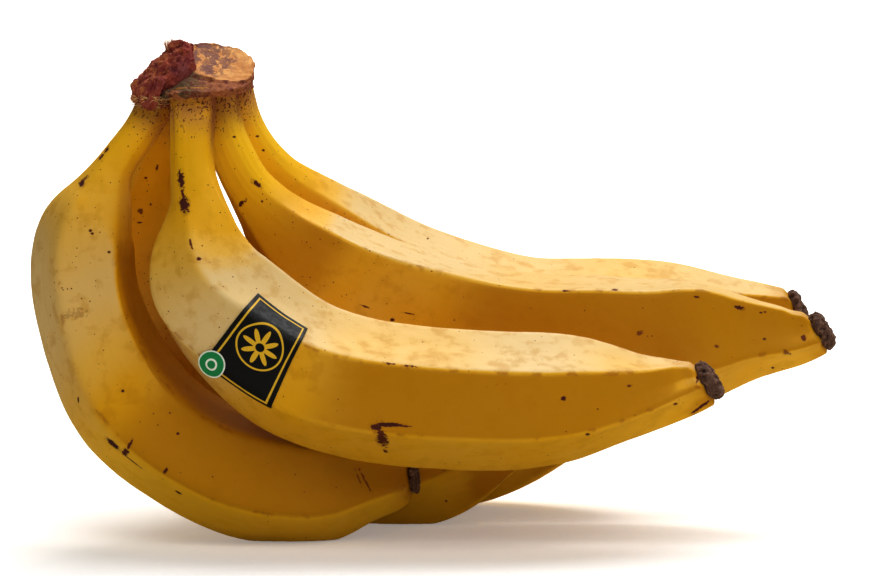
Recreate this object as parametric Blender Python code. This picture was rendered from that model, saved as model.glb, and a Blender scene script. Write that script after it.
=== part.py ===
"""A hand of six bananas, still joined at the crown, lying on the bellies of its lower row.

Metres, +Z up. The fingertips point to +X and the front is -Y. The origin is on the ground under
the middle of the hand. Each finger is a five-sided body that tapers along a curve. Its shape is a
list of stations, each one a place that the curve passes and the finger's height there.
"""

import math

import bmesh
import bpy
import numpy as np
from mathutils import Matrix, Vector

MM = 0.001
GAP = 0.3 * MM  # clearance between pieces that touch
STALK_GAP = 0.4 * MM  # clearance between the crown's slanting underside and the stalks

# Division of the skin into facets
STEPS_PER_SIDE = 4
RINGS = 30

# Fingers. A station is (x, y, z, height, turn): millimetres, then the angle in degrees from the
# front towards the top at which the upper front ridge stands. The first station is in the crown.
UPPER_FRONT = [
    (-64.5, -26.5, 120.5, 12.0, -34), (-64.5, -28.0, 112.0, 12.0, -34), (-64.5, -31.0, 102.0, 11.5, -34),
    (-63.5, -34.5, 94.5, 13.0, -30), (-62.5, -37.0, 88.5, 16.5, -22), (-62.0, -38.5, 81.5, 23.0, -10),
    (-59.5, -41.0, 71.0, 31.0, 3), (-51.0, -43.0, 60.0, 35.0, 16), (-36.5, -44.0, 48.5, 37.0, 25),
    (-19.5, -44.5, 42.5, 37.5, 29), (1.5, -45.0, 40.0, 37.0, 30), (20.5, -44.5, 39.5, 36.0, 29),
    (40.0, -43.5, 40.5, 30.5, 29), (54.0, -42.0, 41.0, 20.5, 38), (65.0, -40.5, 42.5, 14.5, 50),
    (71.0, -40.5, 44.0, 11.0, 54),
]
UPPER_MIDDLE = [
    (-58.0, -13.5, 122.5, 11.0, 20), (-57.5, -14.0, 111.5, 11.0, 20), (-54.5, -14.0, 102.5, 11.5, 22),
    (-50.5, -12.5, 94.5, 12.5, 27), (-46.5, -11.0, 88.5, 15.5, 33), (-37.0, -9.0, 77.0, 25.5, 42),
    (-25.5, -7.0, 67.0, 33.0, 45), (-10.0, -5.5, 58.5, 37.0, 47), (8.0, -5.0, 53.0, 38.0, 48),
    (27.5, -5.5, 50.0, 38.0, 49), (44.5, -5.5, 49.5, 37.5, 50), (60.0, -5.5, 50.0, 35.0, 51),
    (70.0, -5.5, 51.0, 33.0, 52), (78.0, -5.0, 51.5, 27.5, 53), (87.0, -5.0, 52.0, 20.5, 54),
    (96.0, -5.0, 52.5, 15.5, 54), (103.5, -5.0, 54.0, 11.0, 54),
]
UPPER_BACK = [
    (-55.5, -2.5, 122.5, 11.0, 30), (-53.0, 0.0, 111.5, 11.0, 30), (-49.5, 3.5, 104.0, 11.0, 32),
    (-45.0, 9.0, 97.0, 12.5, 36), (-38.0, 16.0, 88.5, 18.5, 42), (-28.5, 23.0, 78.5, 27.0, 46),
    (-17.5, 29.0, 69.0, 32.5, 48), (-5.0, 32.0, 61.5, 35.5, 50), (6.0, 33.5, 57.0, 36.5, 50),
    (27.0, 34.5, 52.0, 36.5, 50), (43.0, 34.5, 52.0, 36.5, 50), (58.5, 34.5, 53.0, 34.0, 52),
    (71.0, 34.5, 54.0, 29.0, 54), (81.5, 35.0, 55.0, 21.5, 55), (92.0, 34.5, 56.0, 15.0, 55),
    (100.5, 34.5, 56.5, 11.0, 55),
]
LOWER_FRONT = [
    (-73.3, -18.0, 119.8, 10.0, 20), (-78.0, -20.0, 110.5, 9.5, 24), (-81.5, -21.5, 105.5, 9.5, 26),
    (-86.5, -23.5, 98.0, 11.5, 30), (-89.5, -24.0, 91.0, 18.5, 34), (-92.5, -24.5, 84.0, 24.5, 38),
    (-94.0, -24.5, 71.0, 27.5, 40), (-90.5, -26.0, 55.0, 29.5, 40), (-81.5, -26.5, 37.5, 32.0, 40),
    (-64.0, -27.5, 23.0, 32.0, 40), (-52.5, -27.0, 18.0, 33.0, 40), (-41.0, -26.0, 15.5, 32.5, 40),
    (-30.5, -24.5, 15.0, 31.0, 40), (-22.0, -23.5, 16.0, 26.0, 42), (-14.0, -22.5, 16.5, 20.0, 45),
    (-9.0, -22.0, 16.5, 14.5, 46), (-6.5, -22.0, 16.5, 9.0, 46),
]
LOWER_MIDDLE = [
    (-68.0, -7.5, 119.8, 11.0, 30), (-71.5, -5.0, 108.5, 11.0, 30), (-74.5, -2.0, 100.5, 12.5, 32),
    (-76.5, 2.5, 92.0, 19.0, 34), (-77.0, 5.5, 82.0, 27.0, 36), (-75.5, 8.5, 71.0, 31.0, 38),
    (-70.5, 9.0, 56.0, 33.5, 42), (-60.5, 9.0, 41.0, 34.5, 45), (-46.0, 9.5, 28.5, 35.5, 50),
    (-29.0, 9.0, 20.5, 36.0, 52), (-11.5, 9.0, 16.6, 35.5, 54), (-1.5, 9.0, 17.0, 33.5, 62),
    (7.5, 9.0, 18.7, 27.5, 74), (16.5, 9.0, 21.5, 18.0, 84), (24.5, 9.5, 24.5, 11.0, 88),
]
LOWER_BACK = [
    (-62.5, 8.0, 121.5, 11.0, 30), (-65.0, 12.5, 108.0, 11.0, 30), (-66.5, 18.0, 98.0, 11.0, 32),
    (-67.5, 26.0, 87.5, 12.5, 34), (-66.0, 37.0, 75.0, 21.0, 38), (-61.0, 43.5, 58.5, 30.5, 40),
    (-49.0, 45.0, 40.5, 34.5, 45), (-31.5, 45.5, 26.0, 35.5, 50), (-12.0, 45.5, 17.6, 35.5, 52),
    (4.0, 45.5, 16.8, 34.5, 58), (19.5, 45.5, 20.0, 30.5, 68), (32.0, 46.0, 23.5, 23.5, 78),
    (43.5, 46.5, 27.5, 16.0, 84), (49.5, 46.5, 29.5, 11.5, 86),
]

# Each finger: its stations, its five ridges in degrees down from the upper front one, how firm the
# ridges are, and the length in millimetres of the dry tip.
FINGERS = {
    "upper_front": (UPPER_FRONT, (0, -55, -127, -199, -289), 14, 5.0),
    "upper_middle": (UPPER_MIDDLE, (0, -76, -146, -216, -288), 14, 5.0),
    "upper_back": (UPPER_BACK, (0, -72, -144, -216, -288), 12, 4.0),
    "lower_front": (LOWER_FRONT, (0, -65, -137, -209, -281), 10, 2.5),
    "lower_middle": (LOWER_MIDDLE, (0, -70, -142, -214, -287), 12, 5.0),
    "lower_back": (LOWER_BACK, (0, -70, -142, -214, -287), 12, 5.0),
}
STALK_ROUNDNESS = 0.55  # how far the stalk's section is drawn to a circle
STALK_SHARE = 0.12      # the stalk's share of a finger's length, where it is roundest
SHOULDER_SHARE = 0.35   # where the five sides are full

# Dry tips: share of the length, and radius as a share of the finger's end
TIP_PROFILE = [(0.0, 0.78), (0.15, 0.90), (0.65, 0.90), (0.92, 0.76), (1.0, 0.55)]
TIP_SIDES = 10
TIP_FLUTES = 0.06

# Crown. A ring is (z, x, y, half length, half width) in millimetres. Its length runs along the
# two rows of stalks, from the front left to the back right.
CROWN_RINGS = [
    (118.0, -64.5, -11.0, 21.5, 10.5), (119.6, -64.5, -11.0, 24.0, 12.2), (122.5, -64.2, -11.0, 22.5, 11.6),
    (126.0, -61.8, -11.5, 17.5, 9.3), (136.0, -59.0, -12.0, 13.5, 8.0),
]
CROWN_LENGTHWISE = (0.37, 0.93)
CROWN_SIDES = 28
CROWN_SLOPE = 0.2       # rise of its underside towards the upper row
CROWN_CORNERS = 3.0     # power of its oval: 2 is an ellipse
CUT_POINT = (-58.5, -12.0, 127.4)
CUT_NORMAL = (0.17, -0.26, 0.95)
TORN_CENTRE = (-71.6, -17.5, 124.2)
TORN_RADII = (5.8, 13.0, 10.3)
TORN_LEAN = 38.0         # degrees that its height leans to the right
TORN_ROUGHNESS = 0.06

# Label: a card with a disc at one corner. Its places are millimetres along and round the peel.
LABEL_ALONG = 74.0      # from the finger's first station
LABEL_ANGLE = -2.0
LABEL_TILT = 7.0
LABEL_SIZE = (17.5, 26.0)
DISC_CENTRE = (-8.0, -11.5)
DISC_RADIUS = 3.7
LABEL_GAP = 0.5 * MM      # clearance from the faceted skin
LABEL_THICK = 0.5 * MM
LABEL_RAYS = 56
LABEL_BANDS = 6

# Colours of the photograph, as linear red, green and blue
PEEL = (0.74, 0.47, 0.085)
PEEL_SHADED = (0.66, 0.39, 0.055)
DRY_TIP = (0.075, 0.052, 0.042)
CROWN_BROWN = (0.24, 0.095, 0.045)
LABEL_DARK = (0.018, 0.018, 0.015)


def material(name, colour, roughness):
    """A plain non-metallic material."""
    made = bpy.data.materials.new(name)
    made.use_nodes = True
    shader = made.node_tree.nodes["Principled BSDF"]
    shader.inputs["Base Color"].default_value = (*colour, 1.0)
    shader.inputs["Roughness"].default_value = roughness
    shader.inputs["Metallic"].default_value = 0.0
    return made


def add_object(name, mesh, made_material):
    """Links a mesh to the scene as a named object, shaded smooth."""
    made = bpy.data.objects.new(name, mesh)
    bpy.context.collection.objects.link(made)
    mesh.materials.append(made_material)
    mesh.shade_smooth()
    return made


def tube(name, rings):
    """A closed mesh through rings of points, with a flat face at each end."""
    shape = bmesh.new()
    loops = [[shape.verts.new(point) for point in ring] for ring in rings]
    for lower, upper in zip(loops, loops[1:]):
        for i, corner in enumerate(lower):
            shape.faces.new((corner, lower[i - 1], upper[i - 1], upper[i]))
    shape.faces.new(loops[0])
    shape.faces.new(reversed(loops[-1]))
    bmesh.ops.recalc_face_normals(shape, faces=shape.faces)
    mesh = bpy.data.meshes.new(name)
    shape.to_mesh(mesh)
    shape.free()
    return mesh


def cut_off(mesh, point, normal):
    """Removes what lies beyond a plane and closes the cut with one flat face."""
    shape = bmesh.new()
    shape.from_mesh(mesh)
    everything = shape.verts[:] + shape.edges[:] + shape.faces[:]
    cut = bmesh.ops.bisect_plane(
        shape, geom=everything, plane_co=point, plane_no=normal, clear_outer=True
    )
    rim = [item for item in cut["geom_cut"] if isinstance(item, bmesh.types.BMEdge)]
    bmesh.ops.contextual_create(shape, geom=rim)
    bmesh.ops.recalc_face_normals(shape, faces=shape.faces)
    shape.to_mesh(mesh)
    shape.free()


def spline(knots, values, places, order=0):
    """A natural cubic spline through the values, or its slope with order 1."""
    count = len(knots)
    step = np.diff(knots)
    slope = np.diff(values, axis=0) / step[:, None]
    system = np.eye(count)
    right = np.zeros_like(values)
    for i in range(1, count - 1):
        system[i, i - 1:i + 2] = step[i - 1], 2 * (step[i - 1] + step[i]), step[i]
        right[i] = 6 * (slope[i] - slope[i - 1])
    bend = np.linalg.solve(system, right)
    k = np.clip(np.searchsorted(knots, places) - 1, 0, count - 2)
    t = (places - knots[k])[..., None]
    h = step[k][..., None]
    first = slope[k] - h * (2 * bend[k] + bend[k + 1]) / 6
    third = (bend[k + 1] - bend[k]) / (6 * h)
    if order:
        return first + bend[k] * t + 3 * third * t ** 2
    return values[k] + first * t + bend[k] * t ** 2 / 2 + third * t ** 3


def knots_along(stations):
    """The distance of each station from the first, along the straight lines between them."""
    steps = np.linalg.norm(np.diff(stations[:, :3], axis=0), axis=1)
    return np.concatenate([[0.0], np.cumsum(steps)])


def skin(finger, along, angle):
    """Points of a finger's skin, in metres.

    Five flat sides lie between the ridges, and a sum of powers rounds the edges between them. The
    section is centred and scaled so that it spans the station's height, and it is turned so that
    its upper front ridge stands at the station's angle.
    """
    stations, ridges, firmness, _ = FINGERS[finger]
    stations = np.array(stations, float)
    knots = knots_along(stations)
    here = spline(knots, stations, along)
    axis = spline(knots, stations[:, :3], along, order=1)
    axis /= np.linalg.norm(axis, axis=-1, keepdims=True)
    front = np.array([0.0, -1.0, 0.0]) + axis * axis[..., 1:2]
    front /= np.linalg.norm(front, axis=-1, keepdims=True)
    top = np.cross(front, axis)

    share = along / knots[-1]
    full = np.clip((share - STALK_SHARE) / (SHOULDER_SHARE - STALK_SHARE), 0, 1)
    full = full * full * (3 - 2 * full)
    around = np.radians(np.arange(0, 360, 3))
    turn = np.radians(here[..., 4])

    def reach(theta):
        flat = polygon(ridges, firmness, theta)
        soft = STALK_ROUNDNESS * (1 - full)
        return soft + (1 - soft) * flat

    heights = np.stack([reach(a) * np.sin(a + turn) for a in around])
    depths = np.stack([reach(a) * np.cos(a + turn) for a in around])
    scale = here[..., 3] / np.ptp(heights, axis=0)
    up = reach(angle) * np.sin(angle + turn) - (heights.max(0) + heights.min(0)) / 2
    out = reach(angle) * np.cos(angle + turn) - (depths.max(0) + depths.min(0)) / 2
    return MM * (here[..., :3] + (scale * up)[..., None] * top + (scale * out)[..., None] * front)


def polygon(ridges, firmness, theta):
    """Reach of a five-sided section at an angle from its upper front ridge."""
    corners = np.radians(ridges)
    following = np.append(corners[1:], corners[0] - 2 * math.pi)
    middles = (corners + following) / 2
    distances = np.cos((corners - following) / 2)
    total = 0
    for middle, distance in zip(middles, distances):
        total = total + (np.clip(np.cos(theta - middle), 0, None) / distance) ** firmness
    return total ** (-1 / firmness)


def finger_length(finger):
    """The length of a finger's curve in millimetres."""
    return knots_along(np.array(FINGERS[finger][0], float))[-1]


def add_finger(finger, peel):
    """One banana from inside the crown to the flat end under its dry tip."""
    ridges = np.append(FINGERS[finger][1], -360)
    angles = np.concatenate(
        [np.linspace(a, b, STEPS_PER_SIDE, endpoint=False) for a, b in zip(ridges, ridges[1:])]
    )
    along = np.linspace(0, finger_length(finger), RINGS)
    along, angle = np.meshgrid(along, np.radians(angles), indexing="ij")
    mesh = tube("finger_" + finger, skin(finger, along, angle))
    return add_object("finger_" + finger, mesh, peel)


def add_tip(finger, dry):
    """The dry remnant of the flower, a short rough plug just off the finger's flat end."""
    stations = np.array(FINGERS[finger][0], float)
    knots = knots_along(stations)
    end = Vector(spline(knots, stations[:, :3], knots[-1:])[0]) * MM
    axis = Vector(spline(knots, stations[:, :3], knots[-1:], order=1)[0]).normalized()
    side = axis.cross(Vector((0, 0, 1))).normalized()
    top = side.cross(axis)
    radius = stations[-1, 3] / 2 * MM
    length = FINGERS[finger][3] * MM
    rings = []
    for share, width in TIP_PROFILE:
        centre = end + axis * (GAP + share * length)
        ring = []
        for i in range(TIP_SIDES):
            turn = 2 * math.pi * i / TIP_SIDES
            reach = radius * width * (1 + TIP_FLUTES * math.cos(5 * turn) * share)
            ring.append(centre + (side * math.cos(turn) + top * math.sin(turn)) * reach)
        rings.append(ring)
    return add_object("blossom_end_" + finger, tube("blossom_end_" + finger, rings), dry)


def crown_body():
    """The solid that the stalks grow from: an oval stack of rings, cut off by a slanting plane."""
    lengthwise = np.array([*CROWN_LENGTHWISE, 0.0])
    lengthwise /= np.linalg.norm(lengthwise)
    crosswise = np.array([lengthwise[1], -lengthwise[0], 0.0])
    turn = np.linspace(0, 2 * math.pi, CROWN_SIDES, endpoint=False)
    power = 2 / CROWN_CORNERS
    far = np.sign(np.cos(turn)) * np.abs(np.cos(turn)) ** power
    wide = np.sign(np.sin(turn)) * np.abs(np.sin(turn)) ** power
    rings = []
    for z, x, y, half_length, half_width in CROWN_RINGS:
        centre = np.array([x, y, z])
        ring = centre + np.outer(far * half_length, lengthwise) + np.outer(wide * half_width, crosswise)
        ring[:, 2] += CROWN_SLOPE * wide * half_width
        rings.append(ring * MM)
    mesh = tube("crown", rings)
    cut_off(mesh, Vector(CUT_POINT) * MM, CUT_NORMAL)
    return mesh


def torn_lump():
    """The torn side of the crown: a ball with waves of three lengths on it."""
    lean = Matrix.Rotation(math.radians(TORN_LEAN), 3, "Y")
    shape = bmesh.new()
    bmesh.ops.create_icosphere(shape, subdivisions=3, radius=1.0)
    for vert in shape.verts:
        x, y, z = vert.co
        wave = math.sin(5 * x + 2 * z) + math.sin(7 * y - 3 * x) + math.sin(6 * z + 4 * y)
        reach = 1 + TORN_ROUGHNESS * wave
        radii = Vector([radius * reach * value for radius, value in zip(TORN_RADII, vert.co)])
        vert.co = (Vector(TORN_CENTRE) + lean @ radii) * MM
    mesh = bpy.data.meshes.new("torn_lump")
    shape.to_mesh(mesh)
    shape.free()
    return mesh


def apply_modifiers(changed):
    """Replaces an object's mesh by the one that its modifiers give."""
    graph = bpy.context.evaluated_depsgraph_get()
    mesh = bpy.data.meshes.new_from_object(changed.evaluated_get(graph))
    changed.modifiers.clear()
    changed.data = mesh


def boolean(target, tool, operation):
    """Adds an exact Boolean modifier to the target."""
    modifier = target.modifiers.new(operation.lower(), "BOOLEAN")
    modifier.operation = operation
    modifier.solver = "EXACT"
    modifier.object = tool


def add_crown(brown):
    """The crown with its torn side grown onto it."""
    crown = add_object("crown", crown_body(), brown)
    lump = add_object("torn_lump", torn_lump(), brown)
    boolean(crown, lump, "UNION")
    apply_modifiers(crown)
    bpy.data.objects.remove(lump)
    return crown


def add_crown_cutter(crown):
    """A copy of the crown grown by the gap, which trims the stalks where they meet it."""
    cutter = crown.copy()
    cutter.data = crown.data.copy()
    cutter.name = "crown_cutter"
    bpy.context.collection.objects.link(cutter)
    shape = bmesh.new()
    shape.from_mesh(cutter.data)
    shape.normal_update()
    for vert, normal in [(vert, vert.normal.copy()) for vert in shape.verts]:
        vert.co += normal * STALK_GAP
    shape.to_mesh(cutter.data)
    shape.free()
    cutter.hide_render = True
    cutter.display_type = "WIRE"
    return cutter


def label_outline(turn):
    """Distance from the card's middle to the edge of the card or of its disc, the farther one."""
    across, down = np.cos(turn), np.sin(turn)
    card = np.minimum(LABEL_SIZE[0] / 2 / np.maximum(np.abs(across), 1e-9),
                      LABEL_SIZE[1] / 2 / np.maximum(np.abs(down), 1e-9))
    middle = across * DISC_CENTRE[0] + down * DISC_CENTRE[1]
    inside = middle ** 2 - (DISC_CENTRE[0] ** 2 + DISC_CENTRE[1] ** 2 - DISC_RADIUS ** 2)
    disc = np.where((inside > 0) & (middle > 0), middle + np.sqrt(np.maximum(inside, 0)), 0)
    return np.maximum(card, disc)


def label_sheet(lift):
    """The label's sheet at a height over the peel, as bands of points round its middle."""
    turn = np.linspace(0, 2 * math.pi, LABEL_RAYS, endpoint=False)
    share = np.arange(1, LABEL_BANDS + 1)[:, None] / LABEL_BANDS
    reach = share * label_outline(turn)
    across, down = reach * np.cos(turn), reach * np.sin(turn)
    tilt = math.radians(LABEL_TILT)
    along = LABEL_ALONG + across * math.cos(tilt) - down * math.sin(tilt)
    around = across * math.sin(tilt) + down * math.cos(tilt)
    return peel_points(along, around, lift), peel_points(np.array(LABEL_ALONG), np.array(0.0), lift)


def peel_points(along, around, lift):
    """Points over the front upper finger, lifted off its skin along the skin's normal."""
    finger = "upper_front"
    stations = np.array(FINGERS[finger][0], float)
    here = spline(knots_along(stations), stations, np.asarray(along, float))
    angle = np.radians(LABEL_ANGLE - here[..., 4]) + around / (here[..., 3] / 2)
    small = 0.05
    point = skin(finger, along, angle)
    run = skin(finger, along + small, angle) - skin(finger, along - small, angle)
    rise = skin(finger, along, angle + small) - skin(finger, along, angle - small)
    normal = np.cross(run, rise)
    normal /= np.linalg.norm(normal, axis=-1, keepdims=True)
    return point + normal * lift


def add_label(dark):
    """The label: two sheets a thickness apart, joined round the edge."""
    low, low_middle = label_sheet(LABEL_GAP)
    high, high_middle = label_sheet(LABEL_GAP + LABEL_THICK)
    shape = bmesh.new()
    edges = []
    for bands, middle in ((low, low_middle), (high, high_middle)):
        loops = [[shape.verts.new(point) for point in band] for band in bands]
        hub = shape.verts.new(middle)
        for i, corner in enumerate(loops[0]):
            shape.faces.new((hub, loops[0][i - 1], corner))
        for inner, outer in zip(loops, loops[1:]):
            for i, corner in enumerate(inner):
                shape.faces.new((corner, inner[i - 1], outer[i - 1], outer[i]))
        edges.append(loops[-1])
    for i, corner in enumerate(edges[0]):
        shape.faces.new((corner, edges[0][i - 1], edges[1][i - 1], edges[1][i]))
    bmesh.ops.recalc_face_normals(shape, faces=shape.faces)
    mesh = bpy.data.meshes.new("label")
    shape.to_mesh(mesh)
    shape.free()
    return add_object("label", mesh, dark)


for leftover in list(bpy.data.objects):
    bpy.data.objects.remove(leftover)

peel_light = material("peel_light", PEEL, 0.45)
peel_shaded = material("peel_shaded", PEEL_SHADED, 0.45)
dry_tip = material("dry_tip", DRY_TIP, 0.9)
crown_brown = material("crown_brown", CROWN_BROWN, 0.85)
label_dark = material("label_dark", LABEL_DARK, 0.35)

crown_object = add_crown(crown_brown)
stalk_cutter = add_crown_cutter(crown_object)
for finger_name in FINGERS:
    upper = finger_name.startswith("upper")
    banana = add_finger(finger_name, peel_light if upper else peel_shaded)
    boolean(banana, stalk_cutter, "DIFFERENCE")
    apply_modifiers(banana)
    if not upper:
        cut_off(banana.data, (0, 0, 0), (0, 0, -1))
    add_tip(finger_name, dry_tip)
add_label(label_dark)
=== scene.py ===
"""A hand of six ripe bananas with its looks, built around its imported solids."""
import math

import bpy
import numpy as np
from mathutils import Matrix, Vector


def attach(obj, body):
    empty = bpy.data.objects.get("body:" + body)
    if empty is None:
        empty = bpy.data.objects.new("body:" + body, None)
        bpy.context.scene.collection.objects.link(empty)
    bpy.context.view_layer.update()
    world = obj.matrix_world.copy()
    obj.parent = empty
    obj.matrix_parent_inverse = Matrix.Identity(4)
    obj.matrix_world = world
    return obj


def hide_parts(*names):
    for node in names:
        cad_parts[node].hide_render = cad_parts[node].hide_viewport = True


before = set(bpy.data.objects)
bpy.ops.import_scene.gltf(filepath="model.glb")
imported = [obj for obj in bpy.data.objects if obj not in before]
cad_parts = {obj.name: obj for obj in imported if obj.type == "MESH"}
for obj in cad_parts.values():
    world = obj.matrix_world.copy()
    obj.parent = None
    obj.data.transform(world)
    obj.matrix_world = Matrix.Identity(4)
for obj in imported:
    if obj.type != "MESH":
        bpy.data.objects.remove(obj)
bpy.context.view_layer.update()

# The six bananas. Each is a five-sided fruit in a leathery yellow peel, with a slim stalk at one
# end. They grew side by side from one crown, in two rows, and lie on the bellies of the lower row.
MM = 0.001

# A station is (x, y, z, height, turn): millimetres, then the angle in degrees from the front
# towards the top at which the upper front ridge stands. The first station is in the crown.
UPPER_FRONT = [
    (-64.5, -26.5, 120.5, 12, -34), (-64.5, -28, 112, 12, -34), (-64.5, -31, 102, 11.5, -34),
    (-63.5, -34.5, 94.5, 13, -30), (-62.5, -37, 88.5, 16.5, -22), (-62, -38.5, 81.5, 23, -10),
    (-59.5, -41, 71, 31, 3), (-51, -43, 60, 35, 16), (-36.5, -44, 48.5, 37, 25),
    (-19.5, -44.5, 42.5, 37.5, 29), (1.5, -45, 40, 37, 30), (20.5, -44.5, 39.5, 36, 29),
    (40, -43.5, 40.5, 30.5, 29), (54, -42, 41, 20.5, 38), (65, -40.5, 42.5, 14.5, 50),
    (71, -40.5, 44, 11, 54),
]
UPPER_MIDDLE = [
    (-58, -13.5, 122.5, 11, 20), (-57.5, -14, 111.5, 11, 20), (-54.5, -14, 102.5, 11.5, 22),
    (-50.5, -12.5, 94.5, 12.5, 27), (-46.5, -11, 88.5, 15.5, 33), (-37, -9, 77, 25.5, 42),
    (-25.5, -7, 67, 33, 45), (-10, -5.5, 58.5, 37, 47), (8, -5, 53, 38, 48),
    (27.5, -5.5, 50, 38, 49), (44.5, -5.5, 49.5, 37.5, 50), (60, -5.5, 50, 35, 51),
    (70, -5.5, 51, 33, 52), (78, -5, 51.5, 27.5, 53), (87, -5, 52, 20.5, 54),
    (96, -5, 52.5, 15.5, 54), (103.5, -5, 54, 11, 54),
]
UPPER_BACK = [
    (-55.5, -2.5, 122.5, 11, 30), (-53, 0, 111.5, 11, 30), (-49.5, 3.5, 104, 11, 32),
    (-45, 9, 97, 12.5, 34), (-38, 16, 88.5, 18.5, 38), (-28.5, 23, 78.5, 27, 40),
    (-17.5, 29, 69, 32.5, 41), (-5, 32, 61.5, 35.5, 41), (6, 33.5, 57, 36.5, 40),
    (27, 34.5, 52, 36.5, 38), (43, 34.5, 52, 36.5, 37), (58.5, 34.5, 53, 34, 36),
    (71, 34.5, 54, 29, 36), (81.5, 35, 55, 21.5, 36), (92, 34.5, 56, 15, 36),
    (100.5, 34.5, 56.5, 11, 36),
]
LOWER_FRONT = [
    (-73.3, -18, 119.8, 10, 20), (-78, -20, 110.5, 9.5, 24), (-81.5, -21.5, 105.5, 9.5, 26),
    (-86.5, -23.5, 98, 11.5, 30), (-89.5, -24, 91, 18.5, 34), (-92.5, -24.5, 84, 24.5, 38),
    (-94, -24.5, 71, 27.5, 40), (-90.5, -26, 55, 29.5, 40), (-81.5, -26.5, 37.5, 32, 40),
    (-64, -27.5, 23, 32, 40), (-52.5, -27, 18, 33, 40), (-41, -26, 15.5, 32.5, 40),
    (-30.5, -24.5, 15, 31, 40), (-22, -23.5, 16, 26, 42), (-14, -22.5, 16.5, 20, 45),
    (-9, -22, 16.5, 14.5, 46), (-6.5, -22, 16.5, 9, 46),
]
LOWER_MIDDLE = [
    (-68, -7.5, 119.8, 11, 30), (-71.5, -5, 108.5, 11, 30), (-74.5, -2, 100.5, 12.5, 32),
    (-76.5, 2.5, 92, 19, 34), (-77, 5.5, 82, 27, 36), (-75.5, 8.5, 71, 31, 38),
    (-70.5, 9, 56, 33.5, 42), (-60.5, 9, 41, 34.5, 45), (-46, 9.5, 28.5, 35.5, 50),
    (-29, 9, 20.5, 36, 52), (-11.5, 9, 16.6, 35.5, 54), (-1.5, 9, 17, 33.5, 62),
    (7.5, 9, 18.7, 27.5, 74), (16.5, 9, 21.5, 18, 84), (24.5, 9.5, 24.5, 11, 88),
]
LOWER_BACK = [
    (-62.5, 8, 121.5, 11, 30), (-65, 12.5, 108, 11, 30), (-66.5, 18, 98, 11, 32),
    (-67.5, 26, 87.5, 12.5, 34), (-66, 37, 75, 21, 38), (-61, 43.5, 58.5, 30.5, 40),
    (-49, 45, 40.5, 34.5, 45), (-31.5, 45.5, 26, 35.5, 50), (-12, 45.5, 17.6, 35.5, 52),
    (4, 45.5, 16.8, 34.5, 58), (19.5, 45.5, 20, 30.5, 68), (32, 46, 23.5, 23.5, 78),
    (43.5, 46.5, 27.5, 16, 84), (49.5, 46.5, 29.5, 11.5, 86),
]

# Each finger: its stations, its five ridges in degrees down from the upper front one, how firm the
# ridges are, the length in millimetres of the dry tip, and the seed of its own unevenness.
FINGERS = {
    "upper_front": (UPPER_FRONT, (0, -55, -127, -199, -289), 26, 5.0, 11),
    "upper_middle": (UPPER_MIDDLE, (0, -76, -146, -216, -288), 26, 5.0, 12),
    "upper_back": (UPPER_BACK, (0, -72, -144, -216, -288), 20, 4.0, 13),
    "lower_front": (LOWER_FRONT, (0, -65, -137, -209, -281), 13, 2.5, 14),
    "lower_middle": (LOWER_MIDDLE, (0, -70, -142, -214, -287), 16, 5.0, 15),
    "lower_back": (LOWER_BACK, (0, -70, -142, -214, -287), 16, 5.0, 16),
}
STALK_ROUNDNESS = 0.55
STALK_SHARE = 0.12
SHOULDER_SHARE = 0.35
PEEL_RINGS = 300
PEEL_SIDES = 150
RIDGE_WIDTH = 1.7     # millimetres
RIDGE_HEIGHT = 0.22
STALK_GROOVES = 0.35
SOFT_RIDGES = 0.45    # share of the relief that the plump lower front finger keeps
FACE_HOLLOW = 0.40
FACE_HALF = math.radians(36)
LONG_WAVES = 0.40
SHORT_WAVES = 0.11
PORES = 0.030
END_LENGTH = 1.6      # over which the peel closes in under its dry tip
END_ROWS = 8
END_DRAW = 0.85       # share of its radius that it is drawn in by
SLANT_LENGTH = 11.0   # over which its end becomes oblique
# Where each finger's shoulder carries its painted sheen, a paler yellow: as a share of its length, how far
# that spreads, and how pale
SHOULDER_SHEEN = {
    "upper_front": (0.325, 0.09, 1.00), "upper_middle": (0.34, 0.10, 0.45), "upper_back": (0.34, 0.10, 0.35),
    "lower_front": (0.38, 0.22, 0.85), "lower_middle": (0.34, 0.15, 0.20), "lower_back": (0.34, 0.15, 0.30),
}
# How far each fingertip's end leans, to the back and upwards, from square to its axis
TIP_LEAN = {
    "upper_front": (-0.12, 0.36), "upper_middle": (-0.10, 0.36), "upper_back": (-0.10, 0.40),
    "lower_front": (-0.10, 0.15), "lower_middle": (-0.10, 0.20), "lower_back": (-0.10, 0.20),
}


def spline(knots, values, places, order=0):
    """A natural cubic spline: cubic pieces whose bends agree at the knots, or its slope with order 1."""
    count = len(knots)
    step = np.diff(knots)
    slope = np.diff(values, axis=0) / step[:, None]
    system = np.eye(count)
    right = np.zeros_like(values)
    for i in range(1, count - 1):
        system[i, i - 1:i + 2] = step[i - 1], 2 * (step[i - 1] + step[i]), step[i]
        right[i] = 6 * (slope[i] - slope[i - 1])
    bend = np.linalg.solve(system, right)
    k = np.clip(np.searchsorted(knots, places) - 1, 0, count - 2)
    t = (places - knots[k])[..., None]
    h = step[k][..., None]
    first = slope[k] - h * (2 * bend[k] + bend[k + 1]) / 6
    third = (bend[k + 1] - bend[k]) / (6 * h)
    if order:
        return first + bend[k] * t + 3 * third * t ** 2
    return values[k] + first * t + bend[k] * t ** 2 / 2 + third * t ** 3


def stations_and_knots(finger):
    """A finger's stations, and the distance of each from the first along straight lines."""
    stations = np.array(FINGERS[finger][0], float)
    steps = np.linalg.norm(np.diff(stations[:, :3], axis=0), axis=1)
    return stations, np.concatenate([[0.0], np.cumsum(steps)])


def length_of(finger):
    """The length of a finger along its stations, in millimetres."""
    return stations_and_knots(finger)[1][-1]


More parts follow.
